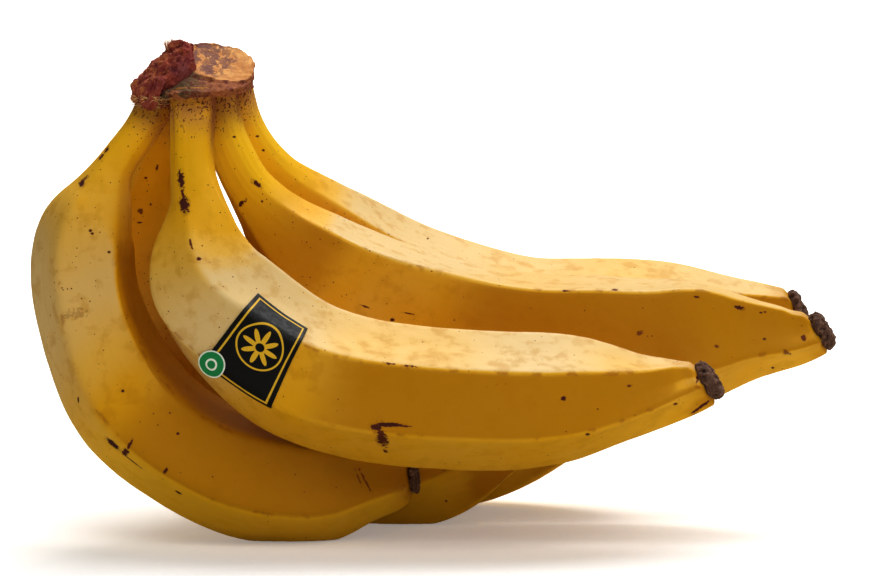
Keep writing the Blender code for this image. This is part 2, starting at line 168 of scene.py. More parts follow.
def station(finger, along, order=0):
    """The station at a distance along a finger, from a spline through all of them."""
    stations, knots = stations_and_knots(finger)
    return spline(knots, stations, along, order)


def unit(vectors):
    """Vectors made one long."""
    return vectors / np.linalg.norm(vectors, axis=-1, keepdims=True)


def heading(finger, along):
    """The direction in which a finger runs: the slope of its spline, made one long."""
    return unit(station(finger, along, order=1)[..., :3])


def polygon(ridges, firmness, theta):
    """Reach of the section at an angle: five flat sides, joined by a sum of their powers."""
    corners = np.radians(ridges)
    following = np.append(corners[1:], corners[0] - 2 * math.pi)
    total = 0
    for middle, distance in zip((corners + following) / 2, np.cos((corners - following) / 2)):
        total = total + (np.clip(np.cos(theta - middle), 0, None) / distance) ** firmness
    return total ** (-1 / firmness)


def ease(share):
    """From 0 to 1, level at both ends."""
    share = np.clip(share, 0, 1)
    return share * share * (3 - 2 * share)


def skin(finger, along, angle):
    """Points of the smooth skin in millimetres: the five-sided section, drawn towards a circle on
    the stalk, scaled to the height there and carried along the finger's curve."""
    ridges, firmness = FINGERS[finger][1:3]
    here = station(finger, along)
    axis = heading(finger, along)
    front = unit(np.array([0.0, -1.0, 0.0]) + axis * axis[..., 1:2])
    top = np.cross(front, axis)
    full = ease((along / length_of(finger) - STALK_SHARE) / (SHOULDER_SHARE - STALK_SHARE))
    turn = np.radians(here[..., 4])

    def reach(theta):
        soft = STALK_ROUNDNESS * (1 - full)
        return soft + (1 - soft) * polygon(ridges, firmness, theta)

    around = np.radians(np.arange(0, 360, 3))
    heights = np.stack([reach(a) * np.sin(a + turn) for a in around])
    depths = np.stack([reach(a) * np.cos(a + turn) for a in around])
    scale = here[..., 3] / np.ptp(heights, axis=0)
    up = scale * (reach(angle) * np.sin(angle + turn) - (heights.max(0) + heights.min(0)) / 2)
    out = scale * (reach(angle) * np.cos(angle + turn) - (depths.max(0) + depths.min(0)) / 2)
    return here[..., :3] + up[..., None] * top + out[..., None] * front


def outward(points):
    """Unit normals of a grid of points whose columns close round, from the cross product of the
    steps around and along it, which is also how its faces turn."""
    run = np.gradient(points, axis=0)
    rise = np.roll(points, -1, axis=1) - np.roll(points, 1, axis=1)
    normal = np.cross(rise, run)
    return normal / np.maximum(np.linalg.norm(normal, axis=-1, keepdims=True), 1e-12)


def scattered(corner, seed):
    """A number from -1 to 1 for each whole-numbered corner, the same on every run."""
    wave = np.sin(corner @ np.array([12.9898, 78.233, 37.719]) + seed * 4.1414) * 43758.5453
    return 2 * (wave - np.floor(wave)) - 1


def uneven(points, size, seed):
    """Smooth noise from -1 to 1: scattered heights at the corners of cubes of this size, blended
    between the corners."""
    cell = points / np.asarray(size, float)
    low = np.floor(cell)
    part = ease(cell - low)
    total = 0
    for corner in np.ndindex(2, 2, 2):
        share = np.prod(np.where(np.array(corner) == 1, part, 1 - part), axis=-1)
        total = total + share * scattered(low + corner, seed)
    return total


def full_turn(count):
    """The angles of a full turn in equal steps, as one row."""
    return np.linspace(0, 2 * math.pi, count, endpoint=False)[None, :]


def grid_faces(rows, columns, closed=True):
    """Four-sided faces between the neighbours in a grid of points, and where it is closed from its
    last column to its first."""
    row, column = np.meshgrid(np.arange(rows - 1), np.arange(columns - (not closed)), indexing="ij")
    after = (column + 1) % columns
    low, high = row * columns, (row + 1) * columns
    return np.stack([low + column, low + after, high + after, high + column], axis=-1).reshape(-1, 4)


def new_mesh(name, points, faces):
    """A smooth mesh from points in millimetres."""
    mesh = bpy.data.meshes.new(name)
    mesh.from_pydata((points.reshape(-1, 3) * MM).tolist(), [], faces)
    mesh.update()
    mesh.shade_smooth()
    return mesh


def surface(name, points, **numbers):
    """A mesh over a grid of points whose columns close round. Each end is closed by a fan of
    triangles to its middle. Its vertices carry the numbers that its material reads, and the two
    middles take the mean of their rings."""
    rows, columns = points.shape[:2]
    around = np.arange(columns)
    following = (around + 1) % columns
    last = (rows - 1) * columns
    hub = np.full(columns, rows * columns)
    faces = grid_faces(rows, columns).tolist()
    faces += np.stack([hub, following, around], axis=-1).tolist()
    faces += np.stack([hub + 1, last + around, last + following], axis=-1).tolist()
    places = np.concatenate([points.reshape(-1, 3), points[:1].mean(1), points[-1:].mean(1)])
    mesh = new_mesh(name, places, faces)
    for label, values in numbers.items():
        values = np.broadcast_to(values, (rows, columns))
        flat = np.concatenate([values.ravel(), [values[0].mean(), values[-1].mean()]])
        mesh.attributes.new(label, "FLOAT", "POINT").data.foreach_set("value", flat.astype(np.float32))
    return mesh


def piece(mesh, material, slot, *nodes):
    """An object of the hand: it rides on the one body and stands for its CAD nodes."""
    made = bpy.data.objects.new(mesh.name, mesh)
    bpy.context.collection.objects.link(made)
    mesh.materials.append(material)
    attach(made, "root")
    if nodes:
        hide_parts(*nodes)


def across_ridges(finger, angle):
    """The angle from each place to the nearest ridge, in radians."""
    ridges = np.radians(FINGERS[finger][1])
    return np.abs((angle[..., None] - ridges + math.pi) % (2 * math.pi) - math.pi).min(-1)


def share_along(finger, along):
    """How much of the stalk and of the five-sided body there is at a place, each from 0 to 1."""
    share = along / length_of(finger)
    return 1 - ease((share - 0.10) / 0.16), ease((share - 0.16) / 0.15)


def relief(finger, along, angle, points):
    """Height over the smooth skin: ridges, the hollow faces between them, waves of two lengths,
    pores, and the grooves of the stalk."""
    seed = FINGERS[finger][4]
    radius = station(finger, along)[..., 3] / 2
    away = across_ridges(finger, angle)
    stalk, body = share_along(finger, along)
    grain = np.stack([along + 0 * angle, radius * np.cos(angle), radius * np.sin(angle)], axis=-1)
    grooves = np.abs(uneven(grain, (60, 2.6, 2.6), seed)) - 0.4
    hollow = np.sin(np.clip(away / FACE_HALF, 0, 1) * math.pi / 2) ** 2
    crisp = body * (SOFT_RIDGES if finger == "lower_front" else 1.0)
    lift = (RIDGE_HEIGHT * np.exp(-(away * radius / RIDGE_WIDTH) ** 2) - FACE_HOLLOW * hollow) * crisp
    lift = lift + LONG_WAVES * uneven(points, 24, seed) * body + SHORT_WAVES * uneven(points, 7, seed + 20)
    return lift + PORES * uneven(points, 1.8, seed + 40) - STALK_GROOVES * grooves * stalk


def peel_points(finger, along, angle, lift=0.0):
    """Points of the finished peel: the smooth skin raised along its normal by the relief, and by
    a further lift. The normal is the cross product of small steps along and round the finger."""
    step, turn = 0.05, 0.01
    run = skin(finger, along + step, angle) - skin(finger, along - step, angle)
    rise = skin(finger, along, angle + turn) - skin(finger, along, angle - turn)
    points = skin(finger, along, angle)
    return points + unit(np.cross(run, rise)) * (relief(finger, along, angle, points) + lift)[..., None]


def close_end(finger, along, points):
    """Makes the finger's end oblique, by sliding its points along the axis in step with how far
    they lie in the direction of the lean, and draws the last rings in towards the axis."""
    past = along - length_of(finger)
    middle = station(finger, along)[..., :3]
    inwards = np.clip((past + END_LENGTH) / END_LENGTH, 0, 1)[..., None]
    points = middle + (points - middle) * np.sqrt(1 - (END_DRAW * inwards) ** 2)
    lean = np.array([0.0, *TIP_LEAN[finger]])
    slant = ease((past + SLANT_LENGTH) / SLANT_LENGTH)[..., None]
    return points - heading(finger, along) * slant * ((points - middle) @ lean)[..., None]


def peel(finger, material, slot):
    """One finger's peel. Its attributes tell its material where the ridges, the stalk and the tip
    are, the places along and round it, the painted sheen and painted shade that make its yellow paler
    or deeper there over a tone that differs at random, the painted shade on the stalks' sides, and the
    painted light on its undersides."""
    length = length_of(finger)
    lower = finger.startswith("lower")
    body_rows = np.linspace(0, length - END_LENGTH, PEEL_RINGS)
    end_rows = length - END_LENGTH + END_LENGTH * np.sin(np.linspace(0, math.pi / 2, END_ROWS))[1:]
    along = np.concatenate([body_rows, end_rows])[:, None]
    angle = -full_turn(PEEL_SIDES)
    points = close_end(finger, along, peel_points(finger, along, angle))
    facing = outward(points)
    if lower:
        points[..., 2] = np.maximum(points[..., 2], 0)
    radius = station(finger, along)[..., 3] / 2
    stalk, body = share_along(finger, along)
    share = along / length
    # Painted sheen: a paler yellow laid on each finger's shoulder.
    middle, spread, sheen_strength = SHOULDER_SHEEN[finger]
    painted_shoulder_sheen = sheen_strength * np.exp(-((share - middle) / spread) ** 2)
    side, back, top = np.moveaxis(facing, -1, 0)
    # Painted shade: from the middle of each finger on, faces that look to the front are made a deeper ochre.
    painted_front_shade = ease((share - 0.40) / 0.2) * np.clip(-back - 0.2 * top, 0, 1)
    # Painted light: faces that look downwards are made a clearer gold, as light thrown up from the floor
    # would make them, and are kept out of the painted front shade.
    under = ease((-top - 0.30) / 0.4)
    # Painted sheen: on the upper fingers, faces that look upwards are made paler, towards cream.
    upper = 0 if lower else ease((top - 0.45) / 0.4) * body
    # Painted shade: on the lower fingers, faces that look up and to the right, under the upper row, are made
    # a deeper ochre and lose their shoulder's sheen.
    shaded = ease((0.6 * side + 0.8 * top - 0.30) / 0.35) * body if lower else 0
    tone = painted_shoulder_sheen * (1 - shaded) + 0.95 * upper - 0.8 * painted_front_shade * (1 - upper) * (1 - under)
    tone = tone - 1.3 * shaded
    # Painted shadow: where the upper front finger shades the upper middle finger's shoulder, that shoulder is
    # made a deeper ochre.
    if finger == "upper_middle":
        tone = tone - 1.2 * np.exp(-((share - 0.26) / 0.09) ** 2) * (1 - upper)
    # Painted shade: near the crown, the sides of the stalks that face their neighbours are made dark
    # red-brown.
    sideways = -side if finger == "upper_back" else np.abs(side)
    # The tone attribute carries painted sheen and painted shade, with a random tone added.
    mesh = surface(
        "peel_" + finger, points, stalk=stalk, along=along,
        ridge=np.exp(-(across_ridges(finger, angle) * radius / RIDGE_WIDTH) ** 2) * body,
        tip=ease((along - length + 9) / 9), round_y=radius * np.cos(angle), round_z=radius * np.sin(angle),
        tone=tone + 0.30 * uneven(points, 26, FINGERS[finger][4] + 60),
        seam=stalk * ease((sideways - 0.84) / 0.14) * (1 - ease((along - 8) / 16)),
        under=under * body * (1.0 if lower else 0.4)
    )
    piece(mesh, material, slot, "finger_" + finger)


def add_node(tree, kind, inputs=None, **settings):
    """One node with its settings, and each named input joined to a socket or set to a value. It
    gives the node's outputs."""
    made = tree.nodes.new(kind)
    for name, value in settings.items():
        setattr(made, name, value)
    for name, value in (inputs or {}).items():
        if isinstance(value, bpy.types.NodeSocket):
            tree.links.new(value, made.inputs[name])
        else:
            made.inputs[name].default_value = value
    return made.outputs


def tree_of(*values):
    """The node tree that the first socket among some values is in."""
    return next(value.id_data for value in values if isinstance(value, bpy.types.NodeSocket))


def reckon(operation, first, second=0.0, third=0.0):
    """The result of one Math node."""
    inputs = {0: first, 1: second, 2: third}
    return add_node(tree_of(first, second, third), "ShaderNodeMath", inputs, operation=operation)[0]


def times(first, second):
    """A product."""
    return reckon("MULTIPLY", first, second)


def scaled(value, factor, more):
    """A product and a sum."""
    return reckon("MULTIPLY_ADD", value, factor, more)


def between(value, low, high, start=0.0, end=1.0):
    """A value turned from low..high to start..end, smoothly and without going beyond."""
    inputs = {"Value": value, "From Min": low, "From Max": high, "To Min": start, "To Max": end}
    return add_node(value.id_data, "ShaderNodeMapRange", inputs, interpolation_type="SMOOTHSTEP")["Result"]


def blended(share, first, second):
    """Two linear colours mixed by a share; each is a socket or three numbers."""
    tree = tree_of(share, first, second)
    first, second = (
        colour if isinstance(colour, bpy.types.NodeSocket) else (*colour, 1.0) for colour in (first, second)
    )
    return add_node(tree, "ShaderNodeMix", {0: share, 6: first, 7: second}, data_type="RGBA")[2]


def layered(colour, *layers):
    """Colours laid over a first one in turn. Each comes with its greatest share, the value that
    brings it in, and the two values between which that happens; without them it is the share."""
    for layer, most, value, *limits in layers:
        share = between(value, *limits, 0.0, most) if limits else times(value, most)
        colour = blended(share, colour, layer)
    return colour


def new_finish(name):
    """An empty material, and the places on its piece in millimetres."""
    made = bpy.data.materials.new(name)
    made.use_nodes = True
    source = add_node(made.node_tree, "ShaderNodeTexCoord")["Object"]
    inputs = {0: source, "Scale": 1 / MM}
    return made, add_node(made.node_tree, "ShaderNodeVectorMath", inputs, operation="SCALE")[0]


def read(place, name):
    """A number that the piece's mesh carries, in the tree of its places."""
    return add_node(place.id_data, "ShaderNodeAttribute", attribute_name=name)["Fac"]


def finished(material, colour, roughness, gloss, height=None, strength=0.0, depth=0.0):
    """A material with its colour, roughness and specular level, and its bump if it has one."""
    tree = material.node_tree
    shader = tree.nodes["Principled BSDF"].inputs
    tree.links.new(colour, shader["Base Color"])
    tree.links.new(roughness, shader["Roughness"])
    shader["Specular IOR Level"].default_value = gloss
    if height is not None:
        inputs = {"Height": height, "Strength": strength, "Distance": depth * MM}
        tree.links.new(add_node(tree, "ShaderNodeBump", inputs)[0], shader["Normal"])
    return material


def cloudiness(vector, size, detail=2.0):
    """Noise from 0 to 1 with patches of a size in millimetres."""
    inputs = {"Vector": vector, "Scale": 1.0 / size, "Detail": detail, "Roughness": 0.55}
    return add_node(vector.id_data, "ShaderNodeTexNoise", inputs)["Fac"]


def new_effect(name, vectors, numbers, results):
    """An empty node group with named sockets, and its two end nodes."""
    tree = bpy.data.node_groups.new(name, "ShaderNodeTree")
    ways = ((vectors, "INPUT", "Vector"), (numbers, "INPUT", "Float"), (results, "OUTPUT", "Float"))
    for labels, way, kind in ways:
        for label in labels:
            tree.interface.new_socket(label, in_out=way, socket_type="NodeSocket" + kind)
    return tree, tree.nodes.new("NodeGroupInput").outputs, tree.nodes.new("NodeGroupOutput").inputs


def effect(group, inputs):
    """A node group placed in a material; gives its outputs."""
    return add_node(tree_of(*inputs.values()), "ShaderNodeGroup", inputs, node_tree=group)


def freckle_effect():
    """Small round specks: in each cell of a Voronoi pattern a speck of its own size, or none."""
    tree, source, result = new_effect("freckles", ["Vector"], ["Spacing", "Share", "Size"], ["Mask"])
    scale = reckon("DIVIDE", 1.0, source["Spacing"])
    cells = add_node(tree, "ShaderNodeTexVoronoi", {"Vector": source["Vector"], "Scale": scale})
    parts = add_node(tree, "ShaderNodeSeparateColor", {"Color": cells["Color"]})
    kept = reckon("LESS_THAN", parts["Red"], source["Share"])
    radius = times(source["Size"], scaled(parts["Green"], 0.7, 0.3))
    nearness = reckon("SUBTRACT", 1.0, reckon("DIVIDE", cells["Distance"], radius))
    tree.links.new(times(between(nearness, 0.0, 0.35), kept), result["Mask"])
    return tree


def bruise_effect():
    """One bruise: an oval about a place, turned in the front plane, its edge made ragged by noise.
    The core is its dark middle and the halo the stain round it."""
    vectors = ["Vector", "Place", "Turn", "Half Size"]
    tree, source, result = new_effect("bruise", vectors, ["Edge", "Ragged", "Darkness"], ["Core", "Halo"])
    inputs = dict(zip(("Vector", "Location", "Rotation", "Scale"), (source[name] for name in vectors)))
    moved = add_node(tree, "ShaderNodeMapping", inputs, vector_type="TEXTURE")[0]
    distance = add_node(tree, "ShaderNodeVectorMath", {0: moved}, operation="LENGTH")["Value"]
    ragged = scaled(source["Edge"], source["Ragged"], distance)
    for name, outside, inside in (("Core", 1.08, 0.88), ("Halo", 1.7, 0.95)):
        tree.links.new(times(between(ragged, outside, inside), source["Darkness"]), result[name])
    return tree


FRECKLES = freckle_effect()
BRUISE = bruise_effect()

GOLD = (0.76, 0.395, 0.010)
STRAW = (0.80, 0.49, 0.085)
# The cream is painted sheen, for the faces that look upwards and the palest shoulders.
SHEEN_CREAM = (0.75, 0.565, 0.29)
DEEP_GOLD = (0.93, 0.52, 0.008)
CLEAR_GOLD = (0.95, 0.60, 0.020)
OCHRE = (0.53, 0.235, 0.003)
ROOT_TAN = (0.47, 0.205, 0.085)
ROOT_PURPLE = (0.14, 0.025, 0.022)
FRECKLE_BROWN = (0.16, 0.025, 0.010)
BRUISE_BROWN = (0.072, 0.015, 0.017)
# This brown serves real stains and worn ridges, and also painted shade on the stalks' sides.
STAIN_AND_SHADE_BROWN = (0.28, 0.062, 0.012)


def peel_finish(name, marks, stalk_gold):
    """The peel: gold clouded with straw, ochre grain along the finger, painted sheen in straw and
    cream and painted shade in ochre, painted light in clear gold on the undersides, painted shade in
    dark red-brown on the stalks' sides, freckles that crowd on the stalk, worn ridges, and the
    finger's own bruises."""
    made, place = new_finish(name)
    names = ("ridge", "stalk", "tip", "along", "round_y", "round_z", "tone", "seam", "under")
    ridge, stalk, tip, along, round_y, round_z, tone, seam, under = [read(place, each) for each in names]
    along_grain = {"X": times(along, 0.03), "Y": round_y, "Z": round_z}
    grain_place = add_node(made.node_tree, "ShaderNodeCombineXYZ", along_grain)[0]
    clouds = cloudiness(place, 22.0)
    patches = cloudiness(place, 5.0, 3.0)
    grain = cloudiness(grain_place, 1.6, 3.0)
    pores = cloudiness(place, 0.45, 2.0)
    # The tone layers are painted sheen in straw and cream and painted shade in ochre, over a tone that
    # differs at random; the clear gold on the undersides is painted light.
    colour = layered(
        GOLD, (STRAW, 0.35, clouds, 0.35, 0.65), (STRAW, 0.9, tone, 0.05, 0.65),
        (SHEEN_CREAM, 0.9, tone, 0.55, 1.15), (OCHRE, 0.85, tone, 0.0, -0.75), (OCHRE, 0.34, patches, 0.49, 0.68),
        (CLEAR_GOLD, 0.6, under), (OCHRE, 0.08, grain, 0.5, 0.75), (stalk_gold, 0.8, stalk), (OCHRE, 0.5, tip)
    )

    root = between(along, 17.0, 3.0)
    rooted = times(root, between(patches, 0.36, 0.56, 0.50, 1.0))
    colour = layered(colour, (ROOT_TAN, 0.85, rooted))
    crumbs = scaled(root, 0.13, cloudiness(place, 0.75, 3.0))
    scurf = times(between(crumbs, 0.675, 0.715), between(root, 0.0, 0.12))
    # Purple scurf near the crown, then painted shade in dark red-brown on the stalks' sides.
    colour = layered(colour, (ROOT_PURPLE, 0.9, scurf), (STAIN_AND_SHADE_BROWN, 0.7, seam))
    worn = times(between(ridge, 0.8, 0.99), between(patches, 0.54, 0.64))
    colour = layered(colour, (STAIN_AND_SHADE_BROWN, 0.38, worn))

    crowded = between(along, 115.0, 30.0, 0.08, 0.40)
    crowded = scaled(tip, 0.15, crowded)
    fine = effect(FRECKLES, {"Vector": place, "Spacing": 1.2, "Share": crowded, "Size": 0.22})["Mask"]
    larger = effect(FRECKLES, {"Vector": place, "Spacing": 3.2, "Share": 0.16, "Size": 0.10})["Mask"]
    specks = reckon("MAXIMUM", times(fine, 0.90), times(larger, 0.95))
    colour = blended(specks, colour, FRECKLE_BROWN)

    edge = scaled(cloudiness(place, 0.8, 3.0), 2.6, -1.3)
    core, halo = None, None
    for spot, (length, width, slant, ragged, darkness) in marks:
        spots = effect(BRUISE, {
            "Vector": place, "Edge": edge, "Place": spot, "Turn": (0.0, math.radians(-slant), 0.0),
            "Half Size": (length, BRUISE_DEPTH, width), "Ragged": ragged, "Darkness": darkness
        })
        core = spots["Core"] if core is None else reckon("MAXIMUM", core, spots["Core"])
        halo = spots["Halo"] if halo is None else reckon("MAXIMUM", halo, spots["Halo"])
    bumps = scaled(pores, 0.30, times(grain, 0.15))
    roughness = between(patches, 0.3, 0.7, 0.46, 0.58)
    if core is not None:
        stained = reckon("MAXIMUM", times(halo, 0.45), between(core, 0.0, 0.6))
        colour = blended(stained, colour, STAIN_AND_SHADE_BROWN)
        colour = layered(colour, (BRUISE_BROWN, 0.95, core))
        bumps = scaled(core, -0.6, bumps)
        roughness = scaled(core, 0.2, roughness)
    bumps = scaled(specks, -0.3, bumps)
    shader = made.node_tree.nodes["Principled BSDF"].inputs
    shader["IOR"].default_value = 1.5
    shader["Specular Tint"].default_value = (1.0, 0.85, 0.50, 1.0)
    return finished(made, colour, roughness, 0.22, bumps, 0.35, 0.4)


# The bruises and larger specks of each finger: millimetres along it, degrees round it, half length
# and half width in millimetres, slant in degrees, raggedness and darkness.
BRUISE_DEPTH = 6.0
MARKS = {
    "upper_front": [
        (26.5, 3, 2.2, 0.72, -82, 0.9, 0.9), (30.7, 1, 1.6, 0.36, -75, 0.6, 0.75),
        (33.5, 0, 1.9, 1.15, -75, 0.8, 0.9), (43.8, 0, 1, 0.31, -70, 1.2, 0.6),
        (48.6, 4, 0.5, 0.41, 0, 0.8, 0.8), (111.6, -48, 3.4, 0.52, -2, 0.5, 1.0),
        (108.6, -51, 1.2, 0.83, 0, 0.8, 0.9), (115.7, -48, 1.3, 0.26, 0, 0.6, 0.7),
        (110.3, -66, 4.2, 1.25, -80, 1.2, 0.75), (109.7, -72, 0.6, 0.47, 20, 0.9, 0.7),
        (111.2, -94, 0.7, 0.37, -30, 0.9, 0.7), (109.7, 2, 1.3, 0.23, -8, 1.4, 0.7),
        (115, 2, 1.8, 0.18, -6, 1.6, 0.6), (154.8, -21, 0.6, 0.57, 0, 0.5, 1.0),
        (160.6, -60, 0.5, 0.42, 0, 0.5, 0.9), (191, -118, 2.6, 0.37, 36, 0.7, 0.9),
        (184.1, -70, 0.5, 0.39, 0, 0.6, 0.7), (171.8, -15, 0.7, 0.31, 0, 0.9, 0.5),
        (192.3, -33, 1, 0.39, 80, 1.2, 0.6),
    ],
    "upper_middle": [
        (29.1, -2, 1.5, 0.51, -38, 0.9, 0.9), (31.6, -62, 1.2, 0.48, 38, 1, 0.9),
        (82.3, -51, 0.5, 0.43, 0, 0.5, 0.9), (73.8, -50, 1.3, 0.21, -20, 1, 0.6),
        (86.1, -40, 1.3, 0.21, -10, 1, 0.6), (34, -20, 0.3, 0.32, 0, 0.5, 0.6),
        (130.3, 0, 0.8, 0.21, 0, 1.2, 0.7), (144.1, 2, 0.8, 0.21, 0, 1.2, 0.7),
        (166.6, -6, 0.8, 0.24, -10, 1.2, 0.7), (178.4, -9, 1.1, 0.48, -15, 0.9, 0.9),
        (183.9, -10, 0.4, 0.24, 0, 0.5, 0.8), (185, -8, 0.4, 0.24, 0, 0.5, 0.7),
        (195.3, -59, 0.8, 0.65, 20, 0.8, 0.55), (150.8, -35, 0.9, 0.43, 20, 1.4, 0.4),
        (184.6, -54, 0.4, 0.3, 0, 0.5, 0.7), (190.4, -81, 1.1, 0.54, -20, 1.6, 0.4),
        (187, -128, 0.4, 0.3, 0, 0.4, 0.8), (170.4, -57, 0.7, 0.37, 0, 1.2, 0.4),
        (16, 8, 0.4, 0.29, 0, 0.5, 0.7),
    ],
    "upper_back": [
        (16, -4, 0.4, 0.3, 0, 0.5, 0.7), (20.2, -11, 0.4, 0.3, 0, 0.5, 0.7),
        (83, 30, 0.3, 0.22, 0, 0.4, 0.6), (142.8, 25, 0.4, 0.17, 0, 0.9, 0.5),
        (172, 7, 0.6, 0.22, -20, 0.8, 0.6), (183.1, -6, 0.4, 0.28, 0, 0.5, 0.6),
    ],
    "lower_front": [
        (31.1, -81, 0.8, 0.69, 30, 0.9, 0.95), (29.8, -84, 1.1, 0.4, 40, 1.3, 0.4),
        (21.9, -86, 0.9, 0.34, 58, 1, 0.8), (23.8, -86, 1.1, 0.27, 48, 1, 0.7),
        (83.1, -89, 0.8, 0.24, 88, 0.6, 0.8), (95.8, -81, 2, 0.66, -42, 0.6, 1.0),
        (99.2, -74, 1.1, 0.79, 60, 0.9, 0.85), (98.9, -64, 1.6, 0.39, 62, 0.9, 0.8),
        (101.2, -80, 3.4, 0.16, -37, 0.5, 0.7), (109, -62, 0.9, 0.45, 55, 0.7, 0.9),
        (113.8, -80, 0.8, 0.29, -30, 0.6, 0.85), (86.6, -36, 0.4, 0.34, 0, 0.5, 0.9),
        (106.5, -26, 0.4, 0.34, 0, 0.5, 0.9), (41.5, -33, 0.4, 0.32, 0, 0.5, 0.8),
        (42, -30, 0.4, 0.32, 0, 0.5, 0.8), (45.9, -8, 0.4, 0.32, 0, 0.5, 0.7),
        (64.5, -51, 2.4, 1.05, 10, 1.8, 0.16), (158.9, -42, 2.9, 0.26, -62, 1.3, 0.45),
        (157.2, -37, 2.1, 0.21, -70, 1.3, 0.35),
    ],
    "lower_middle": [
        (20.6, -31, 0.8, 0.27, 80, 0.9, 0.7), (23.8, -52, 0.4, 0.3, 0, 0.5, 0.6),
        (33.4, -50, 0.7, 0.59, 0, 1, 0.45), (36.6, -50, 0.7, 0.22, 0, 0.7, 0.6),
        (30.6, -34, 0.3, 0.3, 0, 0.4, 0.6), (155.2, -114, 0.3, 0.27, 0, 0.4, 0.6),
    ],
    "lower_back": [],
}


def bruised_places(finger):
    """Each mark's place on the smooth skin, in millimetres, and the rest of its numbers."""
    found = []
    for along, angle, *rest in MARKS[finger]:
        spot = skin(finger, np.array([[along]], float), np.radians(np.array([[angle]], float)))
        found.append((tuple(spot[0, 0]), rest))
    return found


for finger in FINGERS:
    slot_name = "peel_light" if finger.startswith("upper") else "peel_shaded"
    stalk_gold = CLEAR_GOLD if finger in ("upper_middle", "upper_back") else DEEP_GOLD
    finish = peel_finish(slot_name + "_" + finger, bruised_places(finger), stalk_gold)
    peel(finger, finish, slot_name)

# The dry tips. Each is what the withered flower left on its finger: a grey-brown button as thick
# as it is wide, shrunk into fine folds, that sits square on the finger's oblique end.
TIP_ROWS = 90
TIP_COLUMNS = 150
TIP_FOLDS = 0.09
TIP_CRUST = 0.42      # millimetres
TIP_GREY = (0.135, 0.068, 0.046)
TIP_PALE = (0.33, 0.195, 0.135)
TIP_BLACK = (0.030, 0.014, 0.010)

# Along a tip: share of its length, then its radius as a share of the finger's end
TIP_PROFILE = np.array([
    (-0.4, 0.4), (-0.16, 0.72), (0.02, 0.86), (0.2, 0.92), (0.38, 0.88), (0.51, 0.74), (0.57, 0.58),
    (0.53, 0.42), (0.47, 0.28), (0.5, 0.14), (0.53, 0.03)
])


def dry_tip(finger, material):
    """A domed profile turned about the leaning axis of the finger's end. Waves that run along it
    fold it, and a lattice of finer waves crusts it."""
    seed = FINGERS[finger][4]
    last = length_of(finger)
    end = station(finger, np.array([last]))[0]
    axis = unit(heading(finger, np.array([last]))[0] + np.array([0.0, *TIP_LEAN[finger]]))
    side = unit(np.cross(axis, (0, 0, 1)))
    top = np.cross(side, axis)
    step = np.linspace(0, len(TIP_PROFILE) - 1, TIP_ROWS)
    profile = spline(np.arange(len(TIP_PROFILE), dtype=float), TIP_PROFILE, step)
    turn = -full_turn(TIP_COLUMNS)
    far = profile[:, 0:1] + 0 * turn
    gentle = ease((far + 0.25) / 0.25)
    ring = np.stack([3.0 * np.cos(turn) + 0 * far, 3.0 * np.sin(turn) + 0 * far, far], axis=-1)
    folds = uneven(ring, 0.55, seed) + 0.5 * uneven(ring, 0.3, seed + 3)
    reach = end[3] / 2 * profile[:, 1:2] * (1 + TIP_FOLDS * folds * gentle)
    points = end[:3] + (far * FINGERS[finger][3])[..., None] * axis + (reach * np.cos(turn))[..., None] * side
    points = points + (reach * np.sin(turn))[..., None] * top
    creases = 1 - 2 * np.abs(uneven(points, (1.1, 1.1, 1.9), seed + 5))
    crust = creases + 0.6 * uneven(points, 0.7, seed + 7)
    points = points + outward(points) * (TIP_CRUST * gentle * crust)[..., None]
    piece(surface("blossom_" + finger, points, fold=crust), material, "dry_tip", "blossom_end_" + finger)


def tip_finish():
    """Grey-brown, pale on the raised folds and black in the creases, and quite dull."""
    made, place = new_finish("dry_tip")
    fold = read(place, "fold")
    crumbs = cloudiness(place, 0.5, 5.0)
    height = scaled(fold, 0.28, crumbs)
    colour = layered(TIP_BLACK, (TIP_GREY, 1.0, height, 0.22, 0.52), (TIP_PALE, 0.8, height, 0.62, 0.95))
    return finished(made, colour, between(crumbs, 0.3, 0.7, 0.7, 0.95), 0.3, crumbs, 0.8, 0.5)


tip_material = tip_finish()
for finger in FINGERS:
    dry_tip(finger, tip_material)

# The crown. It is the stump that all the stalks grow from: a corky brown band, frayed along its
# lower edge, round the oval face that the harvest knife left, orange-tan with dark blots.

# A ring is an oval (x, y, z, half width, half depth, rise to the right, rise to the back): its
# middle and sizes in millimetres, then the slopes of the plane it lies in.
STUMP_RINGS = np.array([
    (-62.2, -9.5, 120.2, 6, 14, 0.07, 0.03), (-62.3, -10.4, 119.7, 12, 24.4, 0.07, 0.03),
    (-62.2, -10.8, 120.1, 12.8, 25.8, 0.06, 0.03), (-61.6, -11.2, 121.9, 12.4, 25.4, 0.04, 0.06),
    (-59.6, -11.4, 124.8, 10.8, 18.8, -0.07, 0.19), (-57.7, -12, 127, 8.7, 13.4, -0.179, 0.3),
])
STUMP_CORNERS = 2.7     # power of its oval: 2 is an ellipse
STUMP_COLUMNS = 280
BAND_ROWS = 80
FACE_ROWS = 70
CUT_ORANGE = (0.56, 0.22, 0.032)
CUT_PEACH = (0.73, 0.37, 0.095)
CUT_BLOT = (0.19, 0.052, 0.028)
CUT_UMBER = (0.30, 0.105, 0.022)
CORK_BROWN = (0.36, 0.125, 0.045)
CORK_GREY = (0.13, 0.078, 0.036)
CORK_RED = (0.17, 0.036, 0.022)
CORK_PALE = (0.55, 0.28, 0.13)

